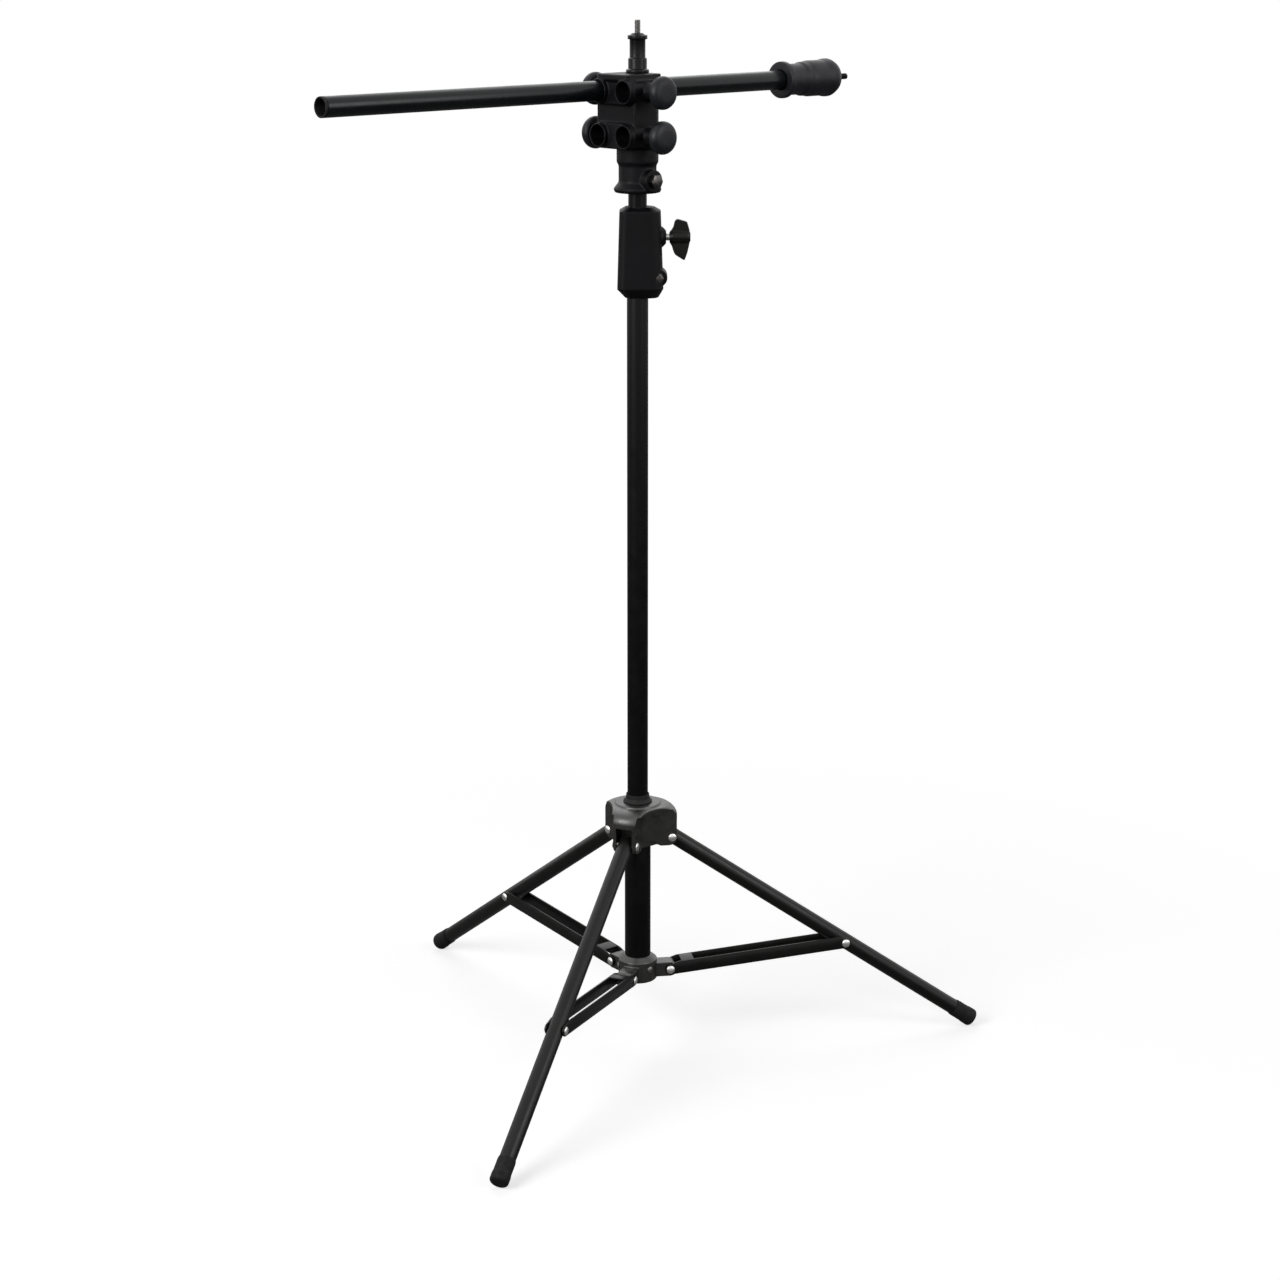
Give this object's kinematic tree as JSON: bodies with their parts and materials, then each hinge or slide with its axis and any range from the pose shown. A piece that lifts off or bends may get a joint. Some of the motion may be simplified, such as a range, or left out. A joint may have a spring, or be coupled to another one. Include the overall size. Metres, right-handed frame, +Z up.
{
  "type": "light stand with cross boom",
  "caption": "Black folding stand on braced legs, with a telescoping column and a grip head that holds a horizontal cross boom with an end fitting.",
  "frame": {"origin": "middle of the footprint, on the ground: bottom centre of the whole stand's bounding box", "axes": "+Z up along the column, +X along the boom towards its end fitting, +Y to the boom's side of the column"},
  "size_m": [0.7046, 0.6016, 1.1055],
  "materials": {
    "tube_paint": "satin black paint",
    "head_plastic": "fine-grained black moulding",
    "crown_plastic": "smooth black moulding",
    "small_plastic": "matte black",
    "foot_rubber": "matte black",
    "bright_steel": "bright nickel plating"
  },
  "bodies": {
    "stand": {"column_tube": "tube_paint", "bottom_plug": "small_plastic", "base_sleeve": "tube_paint", "spreader_hub": "crown_plastic", "hub_rivet_1": "bright_steel", "hub_rivet_2": "bright_steel", "hub_rivet_3": "bright_steel", "hub_pin_1": "bright_steel", "hub_pin_2": "bright_steel", "hub_pin_3": "bright_steel", "lock_collar": "head_plastic", "collar_bush": "small_plastic", "clamp_bolt": "bright_steel", "clamp_nut": "bright_steel", "brake_pad": "small_plastic"},
    "crown": {"leg_crown": "crown_plastic", "crown_bush": "small_plastic", "crown_pin_1": "bright_steel", "crown_pin_2": "bright_steel", "crown_pin_3": "bright_steel"},
    "leg_1": {"leg_tube_1": "tube_paint", "leg_top_plug_1": "small_plastic", "leg_foot_1": "foot_rubber"},
    "leg_2": {"leg_tube_2": "tube_paint", "leg_top_plug_2": "small_plastic", "leg_foot_2": "foot_rubber"},
    "leg_3": {"leg_tube_3": "tube_paint", "leg_top_plug_3": "small_plastic", "leg_foot_3": "foot_rubber"},
    "spreader_1": {"brace_1": "tube_paint", "leg_rivet_1_left": "bright_steel", "leg_rivet_1_right": "bright_steel"},
    "spreader_2": {"brace_2": "tube_paint", "leg_rivet_2_left": "bright_steel", "leg_rivet_2_right": "bright_steel"},
    "spreader_3": {"brace_3": "tube_paint", "leg_rivet_3_left": "bright_steel", "leg_rivet_3_right": "bright_steel"},
    "wing": {"wing_knob": "head_plastic", "wing_screw": "bright_steel"},
    "mast": {"top_tube": "tube_paint"},
    "head": {"head_body": "head_plastic", "head_screw": "bright_steel", "spigot": "bright_steel", "spigot_stud": "bright_steel"},
    "boom": {"boom_tube": "tube_paint", "boom_end_plug": "small_plastic"},
    "fitting": {"end_fitting": "head_plastic", "fitting_screw": "bright_steel", "end_stud": "bright_steel"},
    "upper_left_clamp": {"upper_left_knob": "head_plastic", "upper_left_screw": "bright_steel"},
    "upper_right_clamp": {"upper_right_knob": "head_plastic", "upper_right_screw": "bright_steel"},
    "lower_left_clamp": {"lower_left_knob": "head_plastic", "lower_left_screw": "bright_steel"},
    "lower_right_clamp": {"lower_right_knob": "head_plastic", "lower_right_screw": "bright_steel"}
  },
  "joints": [
    {"name": "crown_slide", "type": "slide", "parent": "stand", "child": "crown", "axis": [0, 0, 1], "range_m": [0, 0.28]},
    {"name": "leg_1_fold", "type": "hinge", "parent": "crown", "child": "leg_1", "pos_m": [0.0571, -0.10272, 0.24416], "axis": [0.5519, 0.8339, 0], "range_deg": [0, 52.45]},
    {"name": "leg_2_fold", "type": "hinge", "parent": "crown", "child": "leg_2", "pos_m": [0.02944, -0.04723, 0.24416], "axis": [-0.9981, 0.061, 0], "range_deg": [0, 52.45]},
    {"name": "leg_3_fold", "type": "hinge", "parent": "crown", "child": "leg_3", "pos_m": [-0.00479, -0.09893, 0.24416], "axis": [0.4462, -0.8949, 0], "range_deg": [0, 52.45]},
    {"name": "brace_1_fold", "type": "hinge", "parent": "stand", "child": "spreader_1", "pos_m": [0.05635, -0.10222, 0.09087], "axis": [-0.5519, -0.8339, 0], "range_deg": [0, 80.63]},
    {"name": "brace_2_fold", "type": "hinge", "parent": "stand", "child": "spreader_2", "pos_m": [0.02938, -0.04813, 0.09087], "axis": [0.9981, -0.061, 0], "range_deg": [0, 80.63]},
    {"name": "brace_3_fold", "type": "hinge", "parent": "stand", "child": "spreader_3", "pos_m": [-0.00398, -0.09853, 0.09087], "axis": [-0.4462, 0.8949, 0], "range_deg": [0, 80.63]},
    {"name": "wing_turn", "type": "hinge", "parent": "stand", "child": "wing", "pos_m": [0.02725, -0.08296, 0.88887], "axis": [0.7373, -0.6756, 0], "range_deg": [0, 720]},
    {"name": "column_extend", "type": "slide", "parent": "stand", "child": "mast", "axis": [0, 0, 1], "range_m": [0, 0.45]},
    {"name": "head_turn", "type": "hinge", "parent": "mast", "child": "head", "pos_m": [0.02725, -0.08296, 0.93417], "axis": [0, 0, 1], "continuous": true},
    {"name": "boom_slide", "type": "slide", "parent": "head", "child": "boom", "axis": [1, 0, 0], "range_m": [-0.2, 0.305]},
    {"name": "fitting_turn", "type": "hinge", "parent": "boom", "child": "fitting", "pos_m": [0.29025, -0.06396, 1.03617], "axis": [1, 0, 0], "continuous": true},
    {"name": "upper_left_knob_turn", "type": "hinge", "parent": "head", "child": "upper_left_clamp", "pos_m": [0.01525, -0.03296, 1.03617], "axis": [0, 1, 0], "range_deg": [0, 720]},
    {"name": "upper_right_knob_turn", "type": "hinge", "parent": "head", "child": "upper_right_clamp", "pos_m": [0.01525, -0.13296, 1.03617], "axis": [0, -1, 0], "range_deg": [0, 720]},
    {"name": "lower_left_knob_turn", "type": "hinge", "parent": "head", "child": "lower_left_clamp", "pos_m": [0.01525, -0.03296, 0.99217], "axis": [0, 1, 0], "range_deg": [0, 720]},
    {"name": "lower_right_knob_turn", "type": "hinge", "parent": "head", "child": "lower_right_clamp", "pos_m": [0.01525, -0.13296, 0.99217], "axis": [0, -1, 0], "range_deg": [0, 720]}
  ],
  "couplings": [
    {"joint": "leg_1_fold", "follows": "crown_slide", "rad_per_m": 3.2693},
    {"joint": "leg_2_fold", "follows": "crown_slide", "rad_per_m": 3.2693},
    {"joint": "leg_3_fold", "follows": "crown_slide", "rad_per_m": 3.2693},
    {"joint": "brace_1_fold", "follows": "crown_slide", "rad_per_m": 5.0257},
    {"joint": "brace_2_fold", "follows": "crown_slide", "rad_per_m": 5.0257},
    {"joint": "brace_3_fold", "follows": "crown_slide", "rad_per_m": 5.0257}
  ]
}
